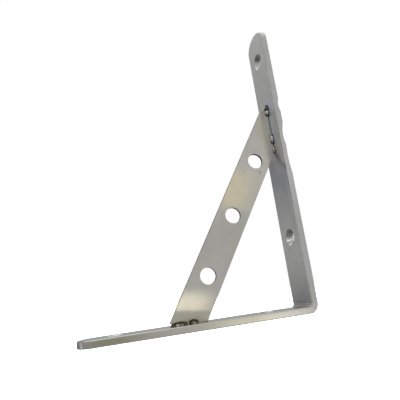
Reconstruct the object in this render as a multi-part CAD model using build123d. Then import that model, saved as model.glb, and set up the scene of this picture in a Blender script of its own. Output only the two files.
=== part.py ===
from build123d import *
import os
from math import atan2, cos, radians, sin, tan

# Fixed triangular shelf bracket, in millimetres. One flat bar is bent square into an
# upright and an arm, and a slanting strip is tack-welded across the corner.
# +Z is up the upright and the arm runs towards -X. The wall face is the upright's +X
# face. The bracket stands on the arm's outer face, and the origin is the middle of
# its footprint, at Z = 0.

# ---- Bent bar ----
bar_width = 25.0
bar_thickness = 4.0
arm_length = 140.0            # wall face to the arm's tip
upright_height = 198.5        # arm's outer face to the upright's tip
inner_bend_radius = 2.0
end_crown_radius = 16.5       # blunt curve of each tip
end_corner_radius = 7.5       # where that curve runs into the long edges
bar_edge_radius = 0.5         # softened long edges

# ---- Screw holes, countersunk on the inner faces ----
screw_hole_diameter = 5.5
countersink_diameter = 11.0
countersink_angle = 90.0
end_hole_inset = 21.0         # from each tip to its nearer hole
upright_corner_hole = 48.0    # from the arm's outer face
arm_corner_hole = 28.5        # from the wall face

# ---- Slanting brace ----
brace_width = 20.2
brace_thickness = 2.0
brace_tip_drop = 52.0         # from the upright's tip to where the brace's outer edge meets it
brace_foot_inset = 50.0       # from the arm's tip to where the brace's outer edge meets it
brace_edge_radius = 0.2
seam_snip = 4.4               # sharp tip cut away, measured along the seam
edge_snip = 11.0              # the same cut, measured along the outer edge
snip_corner_radius = 0.8
foot_gap = 1.4                # the foot's outer corner stands off the arm
brace_hole_diameter = 10.2
brace_hole_pitch = 41.7
brace_hole_count = 3

# ---- Tack welds: half length along the joint and radius of each lump ----
tack_centre_offset = 0.3      # how far a lump's middle stands out of both faces
ripple_spacing = 1.2          # distance between ripples, as a share of their radius
end_ripple_size = 0.75        # size of a lump's last ripple, as a share of its middle one
tip_tack_lumps = ((2.4, 2.6, 1.3), (6.0, 2.3, 1.9))     # distance below the seam's top first
middle_tack = (9.3, 3.8, 1.5)                           # distance above the seam's bottom first
lower_tack = (1.6, 2.2, 1.0)
outer_foot_tack = (5.6, 5.0, 1.9)                       # distance in from the outer corner first
inner_foot_tack = (14.1, 2.9, 2.2)

# ---- Hand-dressed hollows on the upright's front wall-side edge ----
dressing_angle = 30.0         # slope of the dressed facets, from the bar's edge face
dressed_hollows = ((5.2, 10.0, 1.0), (27.0, 19.0, 1.6), (41.0, 28.0, 1.0))
# each is: distance below the seam's top, length, depth

# ---- Places worked out from the sizes ----
wall_x = arm_length / 2
inner_x = wall_x - bar_thickness
tip_x = wall_x - arm_length
half_width = bar_width / 2
outer_bend_radius = inner_bend_radius + bar_thickness

brace_top = Vector(inner_x, 0, upright_height - brace_tip_drop)
brace_foot = Vector(tip_x + brace_foot_inset, 0, bar_thickness)
brace_run = brace_foot - brace_top
brace_angle = atan2(-brace_run.Z, -brace_run.X)
brace_down = brace_run.normalized()
inner_edge_top = brace_top - Vector(0, 0, brace_width / cos(brace_angle))
inner_edge_foot = brace_foot + Vector(brace_width / sin(brace_angle), 0, 0)
seam_top = brace_top - Vector(0, 0, seam_snip)
snip_end = brace_top + brace_down * edge_snip
foot_corner = brace_foot - brace_down * (foot_gap / sin(brace_angle))
brace_front = -brace_thickness / 2


def rounded_outline(length):
    """Bar outline from 0 along +X to a bluntly rounded end at length."""
    body = Pos(length / 2, 0) * Rectangle(length, bar_width)
    crown = Pos(length - end_crown_radius, 0) * Circle(end_crown_radius)
    shank = Pos((length - end_crown_radius) / 2, 0) * Rectangle(length - end_crown_radius, bar_width)
    outline = body & (shank + crown)
    return fillet(outline.vertices().sort_by(Axis.X)[-2:], end_corner_radius)


def bent_strip():
    """The bar's bent section drawn from the front, swept across its width."""
    corners = (
        (wall_x, 0),
        (tip_x, 0),
        (tip_x, bar_thickness),
        (inner_x, bar_thickness),
        (inner_x, upright_height),
        (wall_x, upright_height),
    )
    section = make_face(Polyline(*corners, close=True))
    section = fillet(section.vertices().sort_by_distance((wall_x, 0)).first, outer_bend_radius)
    section = fillet(
        section.vertices().sort_by_distance((inner_x, bar_thickness)).first, inner_bend_radius
    )
    return extrude(Plane.XZ * section, half_width, both=True)


def end_envelopes():
    """Everything inside the rounded outlines of the upright and the arm."""
    upright = Plane(origin=(wall_x, 0, 0), x_dir=(0, 0, 1), z_dir=(-1, 0, 0))
    arm = Plane(origin=(wall_x, 0, 0), x_dir=(-1, 0, 0), z_dir=(0, 0, 1))
    upright_body = extrude(upright * rounded_outline(upright_height), outer_bend_radius)
    arm_body = extrude(arm * rounded_outline(arm_length), outer_bend_radius)
    return upright_body + arm_body


def soften_long_edges(bar):
    """Round the two closed outlines of the bar's inner and outer faces."""
    long_edges = [edge for edge in bar.edges() if not runs_through_thickness(edge)]
    return fillet(long_edges, bar_edge_radius)


def runs_through_thickness(edge):
    """A straight edge that only crosses the bar's thickness, or a bend's width."""
    return edge.geom_type == GeomType.LINE and (
        edge.length < bar_thickness * 1.01 or abs(edge.tangent_at(0.5).Y) > 0.99
    )


def screw_hole(mouth, into_bar):
    """Through hole with a countersink whose mouth is centred on the inner face."""
    hole_radius = screw_hole_diameter / 2
    mouth_radius = countersink_diameter / 2
    sink_depth = (mouth_radius - hole_radius) / tan(radians(countersink_angle / 2))
    place = Plane(origin=mouth, z_dir=into_bar)
    bore = Cylinder(hole_radius, 3 * bar_thickness)
    cone = Pos(0, 0, sink_depth / 2) * Cone(mouth_radius, hole_radius, sink_depth)
    return place * (bore + cone)


def screw_holes():
    """Two holes through the upright and two through the arm."""
    upright_heights = (upright_corner_hole, upright_height - end_hole_inset)
    arm_places = (wall_x - arm_corner_hole, tip_x + end_hole_inset)
    holes = [screw_hole((inner_x, 0, height), (1, 0, 0)) for height in upright_heights]
    holes += [screw_hole((place, 0, bar_thickness), (0, 0, -1)) for place in arm_places]
    return holes


def dressed_hollow(below_seam_top, length, depth):
    """Shallow scoop across the upright's front wall-side edge."""
    radius = (length**2 / 4 + depth**2) / (2 * depth)
    slope = radians(dressing_angle)
    outward = Vector(cos(slope), -sin(slope), 0)
    across = Vector(sin(slope), cos(slope), 0)
    edge_point = Vector(wall_x, -half_width, seam_top.Z - below_seam_top)
    axis_point = edge_point + outward * (radius - depth)
    return Plane(origin=axis_point, z_dir=across) * Cylinder(radius, 2 * bar_width)


def make_bent_bar():
    bar = soften_long_edges(bent_strip() & end_envelopes())
    for hole in screw_holes():
        bar -= hole
    for hollow in dressed_hollows:
        bar -= dressed_hollow(*hollow)
    return bar


def flat(point):
    """The point's place in a drawing seen from the front."""
    return (point.X, point.Z)


def make_brace():
    """Strip mitred to both faces, with its tip snipped and holes along its middle."""
    corners = (seam_top, snip_end, foot_corner, inner_edge_foot, inner_edge_top)
    outline = make_face(Polyline(*[flat(corner) for corner in corners], close=True))
    snipped = outline.vertices().sort_by_distance(flat(snip_end)).first
    outline = fillet(snipped, snip_corner_radius)
    strip = extrude(Plane.XZ * outline, brace_thickness / 2, both=True)
    long_edges = strip.edges().filter_by(lambda edge: abs(edge.tangent_at(0.5).Y) < 0.01)
    strip = fillet(long_edges, brace_edge_radius)
    middle = (brace_top + inner_edge_top + brace_foot + inner_edge_foot) * 0.25
    for index in range(brace_hole_count):
        along = (index - (brace_hole_count - 1) / 2) * brace_hole_pitch
        place = Plane(origin=middle + brace_down * along, z_dir=(0, 1, 0))
        strip -= place * Cylinder(brace_hole_diameter / 2, 3 * brace_thickness)
    return strip


def lump(centre, along, half_length, radius):
    """Row of overlapping balls, the ripples of a short weld, smaller towards its ends."""
    reach = half_length - radius * end_ripple_size
    gaps = max(2, round(2 * reach / (ripple_spacing * radius)))
    ripples = []
    for index in range(gaps + 1):
        share = 2 * index / gaps - 1
        size = radius * (1 - (1 - end_ripple_size) * share**2)
        ripples.append(Pos(*(Vector(centre) + Vector(along) * reach * share)) * Sphere(size))
    return Part() + ripples


def seam_lump(height, half_length, radius):
    centre = (inner_x - tack_centre_offset, brace_front - tack_centre_offset, height)
    return lump(centre, (0, 0, 1), half_length, radius)


def foot_lump(from_outer_corner, half_length, radius):
    place = foot_corner.X + from_outer_corner
    centre = (place, brace_front - tack_centre_offset, bar_thickness + tack_centre_offset)
    return lump(centre, (1, 0, 0), half_length, radius)


def make_tacks():
    """Weld metal before it is fitted against the bar and the brace."""
    tip_lumps = [seam_lump(seam_top.Z - below, *size) for below, *size in tip_tack_lumps]
    middle_height, *middle_size = middle_tack
    lower_height, *lower_size = lower_tack
    return {
        "tip_tack": tip_lumps[0] + tip_lumps[1],
        "middle_tack": seam_lump(inner_edge_top.Z + middle_height, *middle_size),
        "lower_tack": seam_lump(inner_edge_top.Z + lower_height, *lower_size),
        "outer_foot_tack": foot_lump(*outer_foot_tack),
        "inner_foot_tack": foot_lump(*inner_foot_tack),
    }


bent_bar = make_bent_bar()
brace = make_brace()
pieces = {"bent_bar": bent_bar, "brace": brace}
for name, tack in make_tacks().items():
    pieces[name] = tack - bent_bar - brace

os.makedirs("parts", exist_ok=True)
for name, piece in pieces.items():
    export_step(piece, f"parts/{name}.step")
    print(name, round(piece.volume, 2), "mm3", len(piece.solids()), "solid")
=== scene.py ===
"""Dresses the fixed shelf bracket: bare bright steel, burnt tack welds, a pale studio."""
import math

import bmesh
import bpy
from mathutils import Matrix, Vector, noise


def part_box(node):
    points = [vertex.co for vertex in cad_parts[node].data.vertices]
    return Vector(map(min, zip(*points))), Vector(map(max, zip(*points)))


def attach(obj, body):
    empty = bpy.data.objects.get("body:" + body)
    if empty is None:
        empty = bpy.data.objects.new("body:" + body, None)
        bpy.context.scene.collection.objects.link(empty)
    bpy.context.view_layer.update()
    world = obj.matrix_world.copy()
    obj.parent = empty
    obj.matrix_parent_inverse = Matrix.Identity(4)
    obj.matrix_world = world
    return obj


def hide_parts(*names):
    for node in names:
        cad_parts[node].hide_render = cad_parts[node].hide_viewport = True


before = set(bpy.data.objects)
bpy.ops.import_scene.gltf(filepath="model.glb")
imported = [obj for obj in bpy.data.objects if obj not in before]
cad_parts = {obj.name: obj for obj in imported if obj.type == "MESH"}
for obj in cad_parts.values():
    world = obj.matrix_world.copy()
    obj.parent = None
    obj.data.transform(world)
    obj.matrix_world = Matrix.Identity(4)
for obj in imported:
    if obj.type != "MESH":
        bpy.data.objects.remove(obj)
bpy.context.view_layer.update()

bl_info = {
    "name": "Shelf Bracket Looks",
    "version": (1, 0, 0),
    "blender": (4, 5, 0),
    "location": "View3D > Sidebar > Bracket",
    "description": "Steel finishes, weld beads and a studio for a fixed shelf bracket",
    "category": "Object",
}

MM = 0.001
TACKS = ("tip_tack", "middle_tack", "lower_tack", "outer_foot_tack", "inner_foot_tack")
SEAM_TACKS = TACKS[:3]
FOOT_TACKS = TACKS[3:]

# Places read from the solids, in metres.
BAR_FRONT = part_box("bent_bar")[0].y
BRACE_LOW, BRACE_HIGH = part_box("brace")
BRACE_HALF = (BRACE_HIGH.y - BRACE_LOW.y) / 2
INNER_X = BRACE_HIGH.x          # the upright's inner face, where the brace ends
SEAM_Y = BRACE_LOW.y            # the brace's front face, along which the tacks sit
SEAM_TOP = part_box("tip_tack")[1].z
SEAM_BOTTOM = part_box("lower_tack")[0].z

# How much each effect adds to the blur of a steel's reflections.
CUT_BLUR = 0.25
SEAM_BLUR = 0.24
SCRATCH_BLUR = 0.12
SOOT_BLUR = 0.5
FRONT_BLUR_SHARE = 0.62         # the bar's front edge against its faces

# Heights on a bead, as shares of its stand-out, where burnt skin gives way to slag and slag to
# clean metal, before the clean share is taken off, and the width of each change.
SLAG_START = 0.72
SLAG_WIDTH = 0.10
CLEAN_START = 1.0
CLEAN_WIDTH = 0.08
BEAD_RAGGEDNESS = 0.9
BEAD_BUMP = 0.04 * MM


def mm(*lengths):
    """Millimetres as a vector in metres."""
    return Vector(lengths) * MM


# ---- Sizes and colours that a user would change ----

def colour_property(name, description, default):
    return bpy.props.FloatVectorProperty(
        name=name, description=description, default=default, subtype="COLOR", size=3, min=0, max=1
    )


def share_property(name, description, default, top=1.0):
    return bpy.props.FloatProperty(
        name=name, description=description, default=default, min=0, max=top, subtype="FACTOR"
    )


def length_property(name, description, default):
    return bpy.props.FloatProperty(
        name=name, description=description, default=default, min=0,
        subtype="DISTANCE", unit="LENGTH"
    )


class BracketSteelSettings(bpy.types.PropertyGroup):
    """Finish of the bar and the brace."""
    bar_colour: colour_property("Bar", "Bare steel of the bent bar", (0.60, 0.60, 0.595))
    brace_colour: colour_property(
        "Brace", "Bare steel of the slanting brace", (0.608, 0.598, 0.548))
    # The cut edges' colours are painted shade: the sheared and drilled edges are rougher, and are
    # painted near black, in colour and in the tint of their reflections, for the shade and dark
    # reflections in the edges and bores.
    shaded_cut_colour: colour_property(
        "Cut edge", "Sheared and drilled edges of the brace", (0.12, 0.112, 0.10))
    shaded_cut_rim_colour: colour_property(
        "Cut edge seen flat", "Tint of the cut edges at a flat angle", (0.15, 0.14, 0.13))
    bar_roughness: share_property("Bar roughness", "Blur of the bar's reflections", 0.19)
    brace_roughness: share_property("Brace roughness", "Blur of the brace's reflections", 0.04)
    wave_depth: length_property("Wave depth", "Rise of the slow waves in the faces", 0.006 * MM)
    grain_depth: length_property("Grain depth", "Rise of the fine rolled grain", 0.0002 * MM)
    scratch_depth: length_property("Scratch depth", "Depth of the handling scratches", 0.006 * MM)


class BracketWeldSettings(bpy.types.PropertyGroup):
    """Weld metal and the burnt steel round it."""
    bead_colour: colour_property("Bead", "Clean weld metal", (0.62, 0.60, 0.56))
    oxide_colour: colour_property("Oxide", "Burnt skin round the tacks", (0.115, 0.10, 0.078))
    foot_oxide_colour: colour_property(
        "Foot oxide", "Browner burnt skin at the foot", (0.085, 0.062, 0.035))
    slag_colour: colour_property("Slag", "Half-burnt shoulders of a bead", (0.21, 0.185, 0.125))
    seam_clean_share: share_property("Seam clean share", "Clean metal on the seam's beads", 0.76)
    foot_clean_share: share_property("Foot clean share", "Clean metal on the foot's beads", 0.0)
    soot_reach: length_property(
        "Soot reach", "How far the black skin spreads from a tack", 0.16 * MM)
    bead_voxel: length_property("Bead detail", "Size of the smallest bump on a bead", 0.14 * MM)
    bead_pitting: length_property("Bead pitting", "Depth of a bead's lumps and pits", 0.14 * MM)


class BracketStageSettings(bpy.types.PropertyGroup):
    """Camera, floor and light."""
    camera_place: bpy.props.FloatVectorProperty(
        name="Camera place", description="Where the camera stands", size=3,
        subtype="TRANSLATION", unit="LENGTH", default=(-0.058438, -0.235554, 0.018652))
    camera_aim: bpy.props.FloatVectorProperty(
        name="Camera aim", description="The point in the middle of the view", size=3,
        subtype="TRANSLATION", unit="LENGTH", default=(0.008882, 0.0, 0.077248))
    camera_roll: bpy.props.FloatProperty(
        name="Camera roll", description="Lean of the camera about its line of sight",
        default=math.radians(-7.723), subtype="ANGLE", unit="ROTATION")
    lens: bpy.props.FloatProperty(
        name="Lens", description="Focal length on a 36 mm sensor", default=35.9, min=10,
        subtype="DISTANCE_CAMERA", unit="CAMERA")
    floor_colour: colour_property("Floor", "Pale floor under the bracket", (0.90, 0.90, 0.90))
    backdrop_colour: colour_property("Backdrop", "Pale room behind the bracket", (1.0, 1.0, 1.0))
    room_strength: bpy.props.FloatProperty(
        name="Room light", description="Brightness of the room round the bracket",
        default=1.0, min=0)


# ---- Node helpers ----

def feed(tree, socket, value):
    """Links a socket to an input, or sets the input to a plain value."""
    if isinstance(value, bpy.types.NodeSocket):
        tree.links.new(value, socket)
    else:
        socket.default_value = value


def add_node(tree, kind, inputs=None, **settings):
    """Adds a node, with its settings and its inputs, each a socket to link or a value."""
    made = tree.nodes.new(kind)
    for name, value in settings.items():
        setattr(made, name, value)
    for key, value in (inputs or {}).items():
        feed(tree, made.inputs[key], value)
    return made


def maths(tree, operation, *values, clamp=False):
    """One Math node's result."""
    made = add_node(tree, "ShaderNodeMath", dict(enumerate(values)), operation=operation)
    made.use_clamp = clamp
    return made.outputs[0]


def vector_maths(tree, operation, *values):
    """One Vector Math node's vector."""
    made = add_node(tree, "ShaderNodeVectorMath", dict(enumerate(values)), operation=operation)
    return made.outputs[0]


def smooth_range(tree, value, start, end, low=0.0, high=1.0):
    """A smooth step of value, from low at start to high at end."""
    made = add_node(
        tree, "ShaderNodeMapRange",
        {"Value": value, "From Min": start, "From Max": end, "To Min": low, "To Max": high},
        interpolation_type="SMOOTHSTEP",
    )
    return made.outputs[0]


def mix_colour(tree, share, first, second, blend="MIX"):
    """One colour Mix node's result."""
    made = add_node(tree, "ShaderNodeMix", data_type="RGBA", blend_type=blend)
    fed = (("Factor", "VALUE", share), ("A", "RGBA", first), ("B", "RGBA", second))
    for name, kind, value in fed:
        for socket in made.inputs:
            if socket.name == name and socket.type == kind:
                feed(tree, socket, value)
    return [socket for socket in made.outputs if socket.type == "RGBA"][0]


def solid(colour):
    """A colour without transparency."""
    return (*colour, 1.0)


def new_group(name, inputs, outputs):
    """An empty shader node group, what it is given, and the node that takes its results."""
    group = bpy.data.node_groups.new(name, "ShaderNodeTree")
    for label, kind, value in inputs:
        made = group.interface.new_socket(label, in_out="INPUT", socket_type="NodeSocket" + kind)
        if value is not None:
            made.default_value = value
    for label, kind in outputs:
        group.interface.new_socket(label, in_out="OUTPUT", socket_type="NodeSocket" + kind)
    start = group.nodes.new("NodeGroupInput")
    end = group.nodes.new("NodeGroupOutput")
    return group, start.outputs, end


def place_group(tree, group, inputs):
    """A copy of a node group in a material, with its own values."""
    return add_node(tree, "ShaderNodeGroup", inputs, node_tree=group).outputs


# ---- Shared effects ----

def rolled_grain_group():
    """Fine grain in the steel, slow waves in its faces and a soft mottle."""
    group, given, end = new_group(
        "Rolled grain", [("Vector", "Vector", None)],
        [("Grain", "Float"), ("Waves", "Float"), ("Mottle", "Float")],
    )
    for label, values in (
            ("Grain", {"Scale": 9000.0, "Detail": 3.0}),
            ("Waves", {"Scale": 38.0, "Detail": 1.0}),
            ("Mottle", {"Scale": 160.0, "Detail": 4.0, "Roughness": 0.6})):
        noise_node = add_node(group, "ShaderNodeTexNoise", {"Vector": given["Vector"], **values})
        group.links.new(noise_node.outputs[0], end.inputs[label])
    return group


def scratches_group():
    """Thin handling scratches, each set leaning its own way."""
    group, given, end = new_group(
        "Scratches",
        [("Vector", "Vector", None), ("Turn", "Vector", (0.0, 0.0, 0.0)), ("Amount", "Float", 0.5)],
        [("Mask", "Float")],
    )
    turned = add_node(
        group, "ShaderNodeMapping",
        {"Vector": given["Vector"], "Rotation": given["Turn"], "Scale": (40.0, 40.0, 1900.0)})
    lines = add_node(
        group, "ShaderNodeTexNoise", {"Vector": turned.outputs[0], "Scale": 1.0, "Detail": 0.0})
    patches = add_node(group, "ShaderNodeTexNoise", {"Vector": given["Vector"], "Scale": 55.0})
    level = maths(group, "SUBTRACT", 0.82, maths(group, "MULTIPLY", given["Amount"], 0.16))
    line = smooth_range(group, lines.outputs[0], level, maths(group, "ADD", level, 0.03))
    place = smooth_range(group, patches.outputs[0], 0.48, 0.60)
    group.links.new(maths(group, "MULTIPLY", line, place), end.inputs["Mask"])
    return group


def patch_group():
    """Soft ragged-edged patch round one place."""
    group, given, end = new_group(
        "Patch",
        [
            ("Vector", "Vector", None),
            ("Place", "Vector", (0.0, 0.0, 0.0)),
            ("Reach", "Vector", (0.001, 0.001, 0.001)),
            ("Softness", "Float", 0.5),
            ("Raggedness", "Float", 0.3),
            ("Scale", "Float", 500.0),
        ],
        [("Mask", "Float")],
    )
    ragged = add_node(
        group, "ShaderNodeTexNoise",
        {"Vector": given["Vector"], "Scale": given["Scale"], "Detail": 3.0, "Roughness": 0.6})
    offset = vector_maths(group, "SUBTRACT", given["Vector"], given["Place"])
    shaped = vector_maths(group, "DIVIDE", offset, given["Reach"])
    away = add_node(group, "ShaderNodeVectorMath", {0: shaped}, operation="LENGTH").outputs["Value"]
    wander = maths(group, "SUBTRACT", ragged.outputs[0], 0.5)
    raggedness = maths(group, "MULTIPLY", given["Raggedness"], -2.0)
    away = maths(group, "MULTIPLY_ADD", wander, raggedness, away)
    mask = smooth_range(group, away, 1.0, maths(group, "SUBTRACT", 1.0, given["Softness"]))
    group.links.new(mask, end.inputs["Mask"])
    return group


def room_card_group():
    """Soft-edged card in the room, by the direction in which it stands."""
    group, given, end = new_group(
        "Room card",
        [
            ("Azimuth", "Float", 0.0), ("Elevation", "Float", 0.0),
            ("Towards", "Float", 0.0), ("Height", "Float", 0.0), ("Lean", "Float", 0.0),
            ("Half width", "Float", 20.0), ("Half height", "Float", 20.0),
            ("Side edge", "Float", 5.0), ("Lower edge", "Float", 5.0), ("Upper edge", "Float", 5.0),
        ],
        [("Mask", "Float")],
    )
    turn = maths(group, "SUBTRACT", given["Azimuth"], given["Towards"])
    turn = maths(group, "WRAP", turn, 180.0, -180.0)
    rise = maths(group, "SUBTRACT", given["Elevation"], given["Height"])
    lean = maths(group, "RADIANS", given["Lean"])
    cosine = maths(group, "COSINE", lean)
    sine = maths(group, "SINE", lean)
    across = maths(group, "MULTIPLY_ADD", rise, sine, maths(group, "MULTIPLY", turn, cosine))
    upright = maths(group, "MULTIPLY", rise, cosine)
    up = maths(group, "SUBTRACT", upright, maths(group, "MULTIPLY", turn, sine))
    side = smooth_range(
        group, maths(group, "ABSOLUTE", across),
        maths(group, "ADD", given["Half width"], given["Side edge"]), given["Half width"])
    high = given["Half height"]
    low = maths(group, "MULTIPLY", high, -1.0)
    above = smooth_range(group, up, maths(group, "SUBTRACT", low, given["Lower edge"]), low)
    below = smooth_range(group, up, maths(group, "ADD", high, given["Upper edge"]), high)
    mask = maths(group, "MULTIPLY", side, maths(group, "MULTIPLY", above, below))
    group.links.new(mask, end.inputs["Mask"])
    return group


def shared_group(name, make):
    """The node group of that name, made once."""
    return bpy.data.node_groups.get(name) or make()


# ---- Materials ----

def start_material(name):
    """A material with only its output and one Principled shader."""
    material = bpy.data.materials.new(name)
    material.use_nodes = True
    tree = material.node_tree
    return material, tree, tree.nodes["Principled BSDF"]


def object_place(tree):
    """Each spot's place in metres."""
    return add_node(tree, "ShaderNodeTexCoord").outputs["Object"]


def distance_from(tree, value, middle):
    """How far a value is from a middle, either way."""
    return maths(tree, "ABSOLUTE", maths(tree, "SUBTRACT", value, middle))


def patch_mask(tree, place, spot, reach, softness=0.5, raggedness=0.3, scale=500.0):
    """Mask of one soft patch; spot and reach are in metres."""
    patch = place_group(tree, shared_group("Patch", patch_group), {
        "Vector": place, "Place": spot, "Reach": reach,
        "Softness": softness, "Raggedness": raggedness, "Scale": scale})
    return patch["Mask"]


def tinted_and_shaded(tree, place, colour, tints_and_shade):
    """Colour with each heat tint, stain and patch of painted shade in the list laid over it."""
    for spot, reach, tint_and_shade, strength in tints_and_shade:
        mask = patch_mask(tree, place, spot, reach, 0.9, 0.25, 220.0)
        colour = mix_colour(tree, maths(tree, "MULTIPLY", mask, strength), colour, solid(tint_and_shade))
    return colour


def sooted(tree, place, welds):
    """Mask of the black skin round every tack."""
    soot = None
    for name in TACKS:
        low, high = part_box(name)
        reach = (high - low) / 2 + Vector((1, 1, 1)) * welds.soot_reach
        mask = patch_mask(tree, place, (low + high) / 2, reach, 0.25, 0.22, 700.0)
        soot = mask if soot is None else maths(tree, "MAXIMUM", soot, mask)
    return soot


def joint_line(tree, place):
    """Thin dark line along the inside corner where the brace's tip meets the upright."""
    parts = add_node(tree, "ShaderNodeSeparateXYZ", {0: place}).outputs
    near_face = smooth_range(tree, distance_from(tree, parts[0], INNER_X), 0.45 * MM, 0.15 * MM)
    near_front = smooth_range(tree, distance_from(tree, parts[1], SEAM_Y), 0.45 * MM, 0.15 * MM)
    below_top = smooth_range(tree, parts[2], SEAM_TOP + 1 * MM, SEAM_TOP)
    above_bottom = smooth_range(tree, parts[2], SEAM_BOTTOM - 1 * MM, SEAM_BOTTOM)
    between = maths(tree, "MULTIPLY", below_top, above_bottom)
    return maths(tree, "MULTIPLY", between, maths(tree, "MULTIPLY", near_face, near_front))


def steel_material(name, colour, roughness, tints_and_shade, shaded_cut_edges, steel, welds):
    """Bare rolled steel with grain, slow waves, scratches, heat tints, burnt patches and listed
    patches of painted shade; cut edges, where asked, are rougher and painted dark as painted shade.
    """
    material, tree, shader = start_material(name)
    place = object_place(tree)
    grain = place_group(tree, shared_group("Rolled grain", rolled_grain_group), {"Vector": place})
    scratches = shared_group("Scratches", scratches_group)
    first = place_group(tree, scratches, {
        "Vector": place, "Turn": (0.1, 0.5, 0.0), "Amount": 0.2})
    second = place_group(tree, scratches, {
        "Vector": place, "Turn": (0.2, -0.9, 0.4), "Amount": 0.1})
    marks = maths(tree, "MAXIMUM", first["Mask"], second["Mask"])

    tone = smooth_range(tree, grain["Mottle"], 0.3, 0.7, 0.96, 1.04)
    shade = add_node(tree, "ShaderNodeCombineColor", {0: tone, 1: tone, 2: tone}).outputs[0]
    metal = mix_colour(tree, 1.0, solid(colour), shade, "MULTIPLY")
    metal = tinted_and_shaded(tree, place, metal, tints_and_shade)
    rough = smooth_range(tree, grain["Grain"], 0.3, 0.7, roughness * 0.95, roughness * 1.08)
    depth = add_node(tree, "ShaderNodeSeparateXYZ", {0: place}).outputs[1]
    if shaded_cut_edges:
        # Cut edges: rougher, and painted dark in colour and in the tint of their reflections, as
        # painted shade for the shade in the edges and bores.
        shaded_cut = smooth_range(
            tree, maths(tree, "ABSOLUTE", depth), BRACE_HALF - 0.05 * MM, BRACE_HALF - 0.25 * MM)
        metal = mix_colour(tree, shaded_cut, metal, solid(steel.shaded_cut_colour))
        rough = maths(tree, "MULTIPLY_ADD", shaded_cut, CUT_BLUR, rough)
        shaded_rim = mix_colour(tree, shaded_cut, solid((1.0, 1.0, 1.0)), solid(steel.shaded_cut_rim_colour))
        tree.links.new(shaded_rim, shader.inputs["Specular Tint"])
    else:
        front = smooth_range(tree, depth, BAR_FRONT + 0.15 * MM, BAR_FRONT + 0.05 * MM)
        blur_share = smooth_range(tree, front, 0.0, 1.0, 1.0, FRONT_BLUR_SHARE)
        rough = maths(tree, "MULTIPLY", rough, blur_share)
    dulled = patch_mask(tree, place, mm(64, -4, 115), mm(11, 11, 38), 0.7, 0.15, 220.0)
    rough = maths(tree, "MULTIPLY_ADD", dulled, SEAM_BLUR, rough)
    soot = maths(tree, "MAXIMUM", sooted(tree, place, welds), joint_line(tree, place))
    metal = mix_colour(tree, soot, metal, solid(welds.oxide_colour))
    tree.links.new(metal, shader.inputs["Base Color"])
    shader.inputs["Metallic"].default_value = 1.0
    rough = maths(tree, "MULTIPLY_ADD", marks, SCRATCH_BLUR, rough)
    rough = maths(tree, "MULTIPLY_ADD", soot, SOOT_BLUR, rough, clamp=True)
    tree.links.new(rough, shader.inputs["Roughness"])

    waves = add_node(tree, "ShaderNodeBump", {
        "Strength": 1.0, "Distance": steel.wave_depth, "Height": grain["Waves"]}).outputs[0]
    fine = add_node(tree, "ShaderNodeBump", {
        "Strength": 1.0, "Distance": steel.grain_depth, "Height": grain["Grain"],
        "Normal": waves}).outputs[0]
    cuts = add_node(tree, "ShaderNodeBump", {
        "Strength": 1.0, "Distance": steel.scratch_depth, "Height": marks, "Normal": fine},
        invert=True).outputs[0]
    tree.links.new(cuts, shader.inputs["Normal"])
    return material


def weld_material(name, oxide, clean_share, welds):
    """Rough weld metal: clean on its crowns, burnt in its hollows."""
    material, tree, shader = start_material(name)
    pits = add_node(tree, "ShaderNodeTexNoise", {
        "Vector": object_place(tree), "Scale": 800.0, "Detail": 4.0, "Roughness": 0.55}).outputs[0]
    crown = add_node(tree, "ShaderNodeAttribute", attribute_name="crown").outputs["Fac"]
    ragged = maths(tree, "SUBTRACT", pits, 0.5)
    height = maths(tree, "MULTIPLY_ADD", ragged, BEAD_RAGGEDNESS, crown)
    slag_height = SLAG_START - clean_share
    clean_height = CLEAN_START - clean_share
    shoulder = smooth_range(tree, height, slag_height, slag_height + SLAG_WIDTH)
    clean = smooth_range(tree, height, clean_height, clean_height + CLEAN_WIDTH)
    colour = mix_colour(tree, shoulder, solid(oxide), solid(welds.slag_colour))
    colour = mix_colour(tree, clean, colour, solid(welds.bead_colour))
    tree.links.new(colour, shader.inputs["Base Color"])
    shader.inputs["Metallic"].default_value = 1.0
    tree.links.new(maths(tree, "MULTIPLY_ADD", clean, -0.30, 0.55), shader.inputs["Roughness"])
    bump = add_node(tree, "ShaderNodeBump", {
        "Strength": 1.0, "Distance": BEAD_BUMP, "Height": pits}).outputs[0]
    tree.links.new(bump, shader.inputs["Normal"])
    return material


def dress(node, material):
    """Puts one material on a solid."""
    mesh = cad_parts[node].data
    mesh.materials.clear()
    mesh.materials.append(material)


# ---- Pieces ----

def finish_piece(name, mesh_maker, material):
    """Makes a mesh object from a bmesh, in place, riding on the fixed body."""
    mesh = bpy.data.meshes.new(name)
    mesh_maker.to_mesh(mesh)
    mesh_maker.free()
    piece = bpy.data.objects.new(name, mesh)
    bpy.context.scene.collection.objects.link(piece)
    mesh.materials.append(material)
    mesh.shade_smooth()
    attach(piece, "root")
    return piece


def remeshed(shape, voxel):
    """The bmesh's surface rebuilt in small even faces."""
    mesh = bpy.data.meshes.new("rough")
    shape.to_mesh(mesh)
    shape.free()
    body = bpy.data.objects.new("rough", mesh)
    bpy.context.scene.collection.objects.link(body)
    modifier = body.modifiers.new("even faces", "REMESH")
    modifier.mode = "VOXEL"
    modifier.voxel_size = voxel
    bpy.context.view_layer.update()
    graph = bpy.context.evaluated_depsgraph_get()
    even = bmesh.new()
    even.from_mesh(body.evaluated_get(graph).to_mesh())
    bpy.data.objects.remove(body)
    return even


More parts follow.
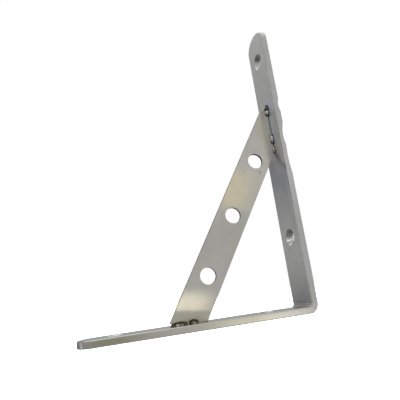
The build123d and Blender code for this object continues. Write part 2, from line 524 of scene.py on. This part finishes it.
def weld_bead(node, towards, welds):
    """The solid's own form with the lumps and pits of a hand-run tack, and how far each spot
    stands out of the joint, as the attribute "crown"."""
    shape = bmesh.new()
    shape.from_mesh(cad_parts[node].data)
    bmesh.ops.remove_doubles(shape, verts=shape.verts, dist=0.0005 * MM)
    even = remeshed(shape, welds.bead_voxel)
    for _ in range(2):
        bmesh.ops.smooth_vert(
            even, verts=even.verts, factor=0.5, use_axis_x=True, use_axis_y=True, use_axis_z=True)
    even.normal_update()
    low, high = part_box(node)
    middle = (low + high) / 2
    half = (high - low) / 2
    crown = even.verts.layers.float.new("crown")
    for vert in even.verts:
        away = [(vert.co[axis] - middle[axis]) / half[axis] for axis in range(3)]
        out = towards.dot(away) / towards.length
        vert[crown] = out
        lumps = noise.noise(vert.co / (1.1 * MM))
        pits = noise.noise(vert.co / (0.45 * MM))
        vert.co += vert.normal * welds.bead_pitting * (0.7 * lumps + 0.5 * pits)
    return even


# ---- Operators ----

class BracketOperator:
    """What every step of this bracket shares."""
    bl_options = {"REGISTER", "UNDO"}


# Heat tints, stains, darker strips and patches of painted shade, each: middle, reach each way,
# colour, strength.
BAR_TINTS_AND_SHADE = (
    (mm(66, -6.8, 138.5), mm(2, 4.2, 8), (0.62, 0.58, 0.78), 0.75),
    (mm(66, -4.5, 124), mm(2, 7.5, 23), (0.63, 0.70, 0.94), 0.8),
    (mm(66, -2.0, 104), mm(2, 5.0, 12), (0.42, 0.42, 0.46), 0.7),
    (mm(66, -9.5, 95), mm(2, 3.2, 42), (0.74, 0.71, 0.80), 0.8),
    (mm(66, -3, 86), mm(2, 8, 12), (0.55, 0.585, 0.65), 0.8),
    # Painted shade: slightly darker and bluer just above the bend's inner corner.
    (mm(66, -3, 10), mm(2, 11, 7), (0.54, 0.55, 0.59), 0.8),
    # Darker along the bottom of the arm's front face, in two strips.
    (mm(-47.5, -13, 1.8), mm(4, 1.5, 0.7), (0.40, 0.385, 0.34), 0.8),
    (mm(9, -13, 2.2), mm(5, 1.5, 0.6), (0.42, 0.405, 0.36), 0.7),
    (mm(66, -8.8, 57), mm(2, 0.9, 8), (0.40, 0.31, 0.32), 0.6),
    # Painted shade in the bend's inner corner, with a brown tint.
    (mm(64.5, 0, 5), mm(4, 16, 4), (0.34, 0.29, 0.26), 0.8),
    (mm(-6, -6, 4), mm(19, 6, 2), (0.36, 0.32, 0.22), 0.7),
    (mm(0, -13, 2), mm(95, 2, 9), (0.61, 0.59, 0.52), 1.0),
)
BRACE_TINTS = (
    (mm(61, -1, 126), mm(8, 2, 24), (0.60, 0.585, 0.47), 0.8),
    (mm(64, -1, 124), mm(4.5, 2, 22), (0.72, 0.70, 0.52), 0.8),
    (mm(-6, -1, 5), mm(22, 2, 12), (0.56, 0.53, 0.43), 0.9),
    (mm(-7, -1, 5.0), mm(14, 2, 3.0), (0.36, 0.30, 0.20), 0.8),
    (mm(52.5, -1, 93.3), mm(1.0, 2, 1.6), (0.34, 0.24, 0.17), 0.8),
)


class BRACKET_OT_dress_bar(BracketOperator, bpy.types.Operator):
    """Give the bent bar its rolled steel finish, with painted shade in the bend's inner corner"""
    bl_idname = "bracket.dress_bar"
    bl_label = "Dress the Bent Bar"

    def execute(self, context):
        steel = context.scene.bracket_steel
        welds = context.scene.bracket_welds
        dress("bent_bar", steel_material(
            "bar_steel", steel.bar_colour, steel.bar_roughness, BAR_TINTS_AND_SHADE, False,
            steel, welds))
        return {"FINISHED"}


class BRACKET_OT_dress_brace(BracketOperator, bpy.types.Operator):
    """Give the slanting brace its smoother steel finish, with painted shade on its cut edges"""
    bl_idname = "bracket.dress_brace"
    bl_label = "Dress the Brace"

    def execute(self, context):
        steel = context.scene.bracket_steel
        welds = context.scene.bracket_welds
        dress("brace", steel_material(
            "brace_steel", steel.brace_colour, steel.brace_roughness, BRACE_TINTS, True,
            steel, welds))
        return {"FINISHED"}


class BRACKET_OT_weld_tacks(BracketOperator, bpy.types.Operator):
    """Model a rough bead in place of each plain tack"""
    bl_idname = "bracket.weld_tacks"
    bl_label = "Model the Weld Tacks"

    def execute(self, context):
        welds = context.scene.bracket_welds
        seam_metal = weld_material(
            "seam_weld", welds.oxide_colour, welds.seam_clean_share, welds)
        foot_metal = weld_material(
            "foot_weld", welds.foot_oxide_colour, welds.foot_clean_share, welds)
        for nodes, towards, metal in (
                (SEAM_TACKS, Vector((-1, -1, 0)), seam_metal),
                (FOOT_TACKS, Vector((0, -1, -0.3)), foot_metal)):
            for node in nodes:
                bead = finish_piece(node + "_bead", weld_bead(node, towards, welds), metal)
                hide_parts(node)
        return {"FINISHED"}


# Sides of the room: middle and half width in degrees from the front towards +X, side edge, and
# the brightness at heights from the floor to straight up. Each is painted over the ones before.
ROOM_SIDES = (
    ("right", 100, 55, 30,
     ((-90, 0.40), (-8, 0.45), (2, 0.55), (12, 0.95), (35, 1.00), (60, 0.90), (90, 1.30))),
    ("left", -95, 35, 14,
     ((-90, 0.10), (-18, 0.14), (-9, 0.36), (2, 0.36), (9, 0.20), (25, 0.22), (45, 0.45),
      (62, 0.95), (90, 1.30))),
    ("back", 172, 22, 14,
     ((-90, 0.20), (-6, 0.28), (0, 0.41), (4, 0.42), (8, 0.41), (14, 0.36), (24, 0.36), (34, 0.60),
      (60, 1.20), (90, 1.30))),
    ("back left", -150, 14, 12,
     ((-90, 0.15), (-5, 0.21), (-2, 0.25), (0, 0.38), (3, 0.47), (5, 0.48), (8, 0.425),
      (12, 0.35), (15, 0.26), (17, 0.25), (20, 0.32), (23, 0.44), (26, 0.51), (29, 0.46),
      (34, 0.57), (50, 0.80), (62, 1.25), (90, 1.30))),
    ("front", 5, 52, 24,
     ((-90, 0.45), (-20, 0.48), (-5, 0.53), (2, 0.58), (9, 0.555), (13, 0.64), (16, 0.66),
      (20, 0.63), (24, 0.56), (27, 0.60), (32, 0.56), (36, 0.66), (50, 0.75), (90, 1.30))),
)
# Cards and shadows in the room, in degrees: middle, height, lean, half width, half height, side
# edge, lower edge, upper edge, and the colour.
ROOM_CARDS = (
    ("table edge", 10.2, -0.78, -7, 2.6, 0.62, 4.6, 0.08, 2.1, (1.18, 1.12, 0.97)),
    ("shaded paper", 21.0, -7.4, -4, 2.0, 3.8, 6.0, 4, 0.8, (1.05, 1.02, 0.92)),
    ("paper on the table", 25.6, -7.4, -4, 2.5, 3.4, 1.6, 4, 0.6, (1.44, 1.40, 1.26)),
    ("lit doorway", -72, 20, 0, 4, 16, 3, 4, 10, (1.7, 1.7, 1.7)),
    ("warm lamp glow", 20.8, 14.4, -20, 0.8, 1.4, 3.6, 2.5, 2.5, (0.84, 0.77, 0.63)),
    ("maker's shadow", -38, -8, 0, 40, 6, 7, 8, 3.0, (0.345, 0.335, 0.27)),
    ("side strip", -114, -5, 0, 3, 7, 2.5, 6, 3, (2.6, 2.6, 2.6)),
)


def height_ramp(tree, elevation, stops):
    """Grey by height above the horizon in degrees."""
    share = maths(tree, "MULTIPLY_ADD", elevation, 1 / 180, 0.5)
    ramp = add_node(tree, "ShaderNodeValToRGB", {0: share})
    elements = ramp.color_ramp.elements
    while len(elements) < len(stops):
        elements.new(0.5)
    for element, (height, grey) in zip(elements, stops):
        element.position = height / 180 + 0.5
        element.color = (grey, grey, grey, 1.0)
    return ramp.outputs[0]


def room_world(settings):
    """A soft room: pale to the eye, and mirrored by the steel as walls, floor and lamps."""
    world = bpy.data.worlds.new("room")
    world.use_nodes = True
    tree = world.node_tree
    background = tree.nodes["Background"]
    towards = add_node(tree, "ShaderNodeTexCoord").outputs["Generated"]
    parts = add_node(tree, "ShaderNodeSeparateXYZ", {0: towards}).outputs
    back = maths(tree, "MULTIPLY", parts[1], -1.0)
    azimuth = maths(tree, "DEGREES", maths(tree, "ARCTAN2", parts[0], back))
    elevation = maths(tree, "DEGREES", maths(tree, "ARCSINE", parts[2]))
    card = shared_group("Room card", room_card_group)
    colour = solid((0.5, 0.5, 0.5))
    for _, side, half_width, side_edge, stops in ROOM_SIDES:
        wall = place_group(tree, card, {
            "Azimuth": azimuth, "Elevation": elevation, "Towards": float(side), "Height": 0.0,
            "Half width": float(half_width), "Half height": 90.0, "Side edge": float(side_edge)})
        colour = mix_colour(tree, wall["Mask"], colour, height_ramp(tree, elevation, stops))
    for _, side, height, lean, half_width, half_height, side_edge, lower, upper, tone in ROOM_CARDS:
        lit = place_group(tree, card, {
            "Azimuth": azimuth, "Elevation": elevation, "Towards": float(side),
            "Height": float(height), "Lean": float(lean),
            "Half width": float(half_width), "Half height": float(half_height),
            "Side edge": float(side_edge), "Lower edge": float(lower), "Upper edge": float(upper)})
        colour = mix_colour(tree, lit["Mask"], colour, solid(tone))
    seen = add_node(tree, "ShaderNodeLightPath").outputs["Is Camera Ray"]
    colour = mix_colour(tree, seen, colour, solid(settings.backdrop_colour))
    tree.links.new(colour, background.inputs["Color"])
    background.inputs["Strength"].default_value = settings.room_strength
    return world


def pale_floor(settings):
    """Round pale floor, unseen by the steel."""
    shape = bmesh.new()
    bmesh.ops.create_circle(shape, cap_ends=True, segments=96, radius=3.0)
    mesh = bpy.data.meshes.new("pale_floor")
    shape.to_mesh(mesh)
    shape.free()
    floor = bpy.data.objects.new("pale_floor", mesh)
    bpy.context.scene.collection.objects.link(floor)
    material, _, shader = start_material("pale_paper")
    shader.inputs["Base Color"].default_value = solid(settings.floor_colour)
    shader.inputs["Emission Color"].default_value = solid(settings.floor_colour)
    shader.inputs["Emission Strength"].default_value = 0.75
    shader.inputs["Roughness"].default_value = 0.9
    shader.inputs["Specular IOR Level"].default_value = 0.1
    mesh.materials.append(material)
    floor.visible_glossy = False


def area_light(name, place, aim, size, power):
    """Soft square lamp, left out of reflections."""
    lamp = bpy.data.lights.new(name, "AREA")
    lamp.shape = "SQUARE"
    lamp.size = size
    lamp.energy = power
    holder = bpy.data.objects.new(name, lamp)
    bpy.context.scene.collection.objects.link(holder)
    holder.location = place
    holder.rotation_euler = (Vector(aim) - Vector(place)).to_track_quat("-Z", "Y").to_euler()
    holder.visible_glossy = False


def aimed_camera(settings):
    """Camera at its place, turned to its aim and leaned about its line of sight."""
    camera = bpy.data.cameras.new("camera")
    camera.sensor_width = 36
    camera.lens = settings.lens
    camera.clip_start = 0.01
    holder = bpy.data.objects.new("camera", camera)
    bpy.context.scene.collection.objects.link(holder)
    place = Vector(settings.camera_place)
    turn = (Vector(settings.camera_aim) - place).to_track_quat("-Z", "Y").to_matrix()
    lean = Matrix.Rotation(settings.camera_roll, 3, "Z")
    holder.matrix_world = Matrix.Translation(place) @ (turn @ lean).to_4x4()
    bpy.context.scene.camera = holder


class BRACKET_OT_stage(BracketOperator, bpy.types.Operator):
    """Set up the camera, the pale floor, the lamps and the room"""
    bl_idname = "bracket.stage"
    bl_label = "Set the Stage"

    def execute(self, context):
        settings = context.scene.bracket_stage
        aimed_camera(settings)
        pale_floor(settings)
        area_light("top_lamp", (-0.1, -0.2, 1.1), (0, 0, 0), 1.4, 22)
        area_light("front_lamp", (-0.7, -1.0, 0.7), (0, 0, 0.08), 0.9, 10)
        context.scene.world = room_world(settings)
        context.scene.view_settings.view_transform = "Standard"
        return {"FINISHED"}


class BRACKET_PT_looks(bpy.types.Panel):
    """Every step of the bracket's looks"""
    bl_label = "Shelf Bracket"
    bl_idname = "BRACKET_PT_looks"
    bl_space_type = "VIEW_3D"
    bl_region_type = "UI"
    bl_category = "Bracket"

    def draw(self, context):
        for operator in OPERATORS:
            self.layout.operator(operator.bl_idname)
        for group in ("bracket_steel", "bracket_welds", "bracket_stage"):
            settings = getattr(context.scene, group)
            box = self.layout.box()
            for name in settings.__annotations__:
                box.prop(settings, name)


OPERATORS = (BRACKET_OT_dress_bar, BRACKET_OT_dress_brace, BRACKET_OT_weld_tacks, BRACKET_OT_stage)
SETTINGS = {
    "bracket_steel": BracketSteelSettings,
    "bracket_welds": BracketWeldSettings,
    "bracket_stage": BracketStageSettings,
}
CLASSES = (*SETTINGS.values(), *OPERATORS, BRACKET_PT_looks)


def register():
    for cls in CLASSES:
        bpy.utils.register_class(cls)
    for name, group in SETTINGS.items():
        setattr(bpy.types.Scene, name, bpy.props.PointerProperty(type=group))


def unregister():
    for name in SETTINGS:
        delattr(bpy.types.Scene, name)
    for cls in reversed(CLASSES):
        bpy.utils.unregister_class(cls)


def main():
    register()
    bpy.ops.bracket.dress_bar()
    bpy.ops.bracket.dress_brace()
    bpy.ops.bracket.weld_tacks()
    bpy.ops.bracket.stage()


if __name__ == "__main__":
    main()
